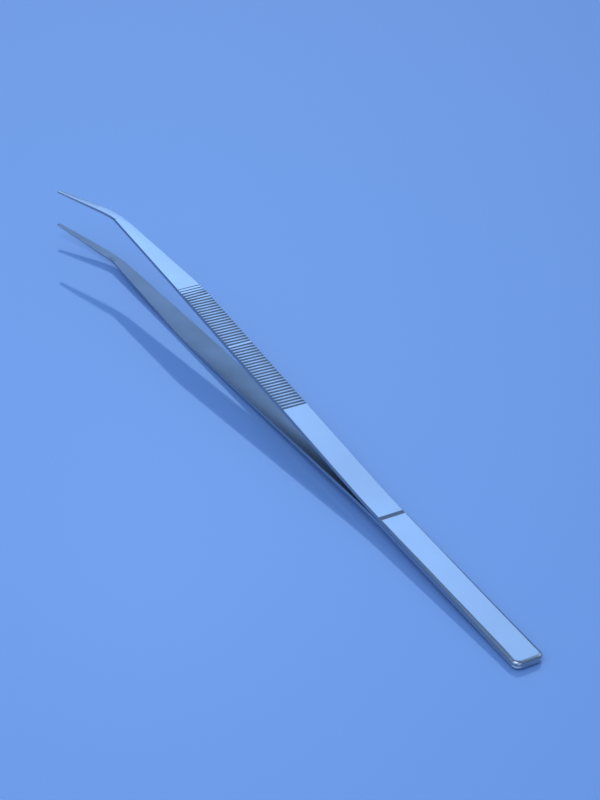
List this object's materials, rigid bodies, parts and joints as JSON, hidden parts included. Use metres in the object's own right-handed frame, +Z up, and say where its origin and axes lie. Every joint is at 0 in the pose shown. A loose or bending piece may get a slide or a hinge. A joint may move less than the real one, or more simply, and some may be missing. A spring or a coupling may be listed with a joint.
{
  "type": "thumb forceps",
  "caption": "Slim steel thumb forceps with angled tips: two bowed spring arms welded at one end, each with a grooved finger grip, lying on its side.",
  "frame": {"origin": "centre of the footprint's box, on the table that the forceps lies on", "axes": "+X along the forceps from the joint end to the tips, +Y to the side that the tips turn to, +Z up from the table"},
  "size_m": [0.15, 0.008, 0.0109],
  "materials": {
    "steel": "satin polished stainless steel"
  },
  "bodies": {
    "root": {"upper_arm": "steel", "lower_arm": "steel"}
  },
  "joints": []
}
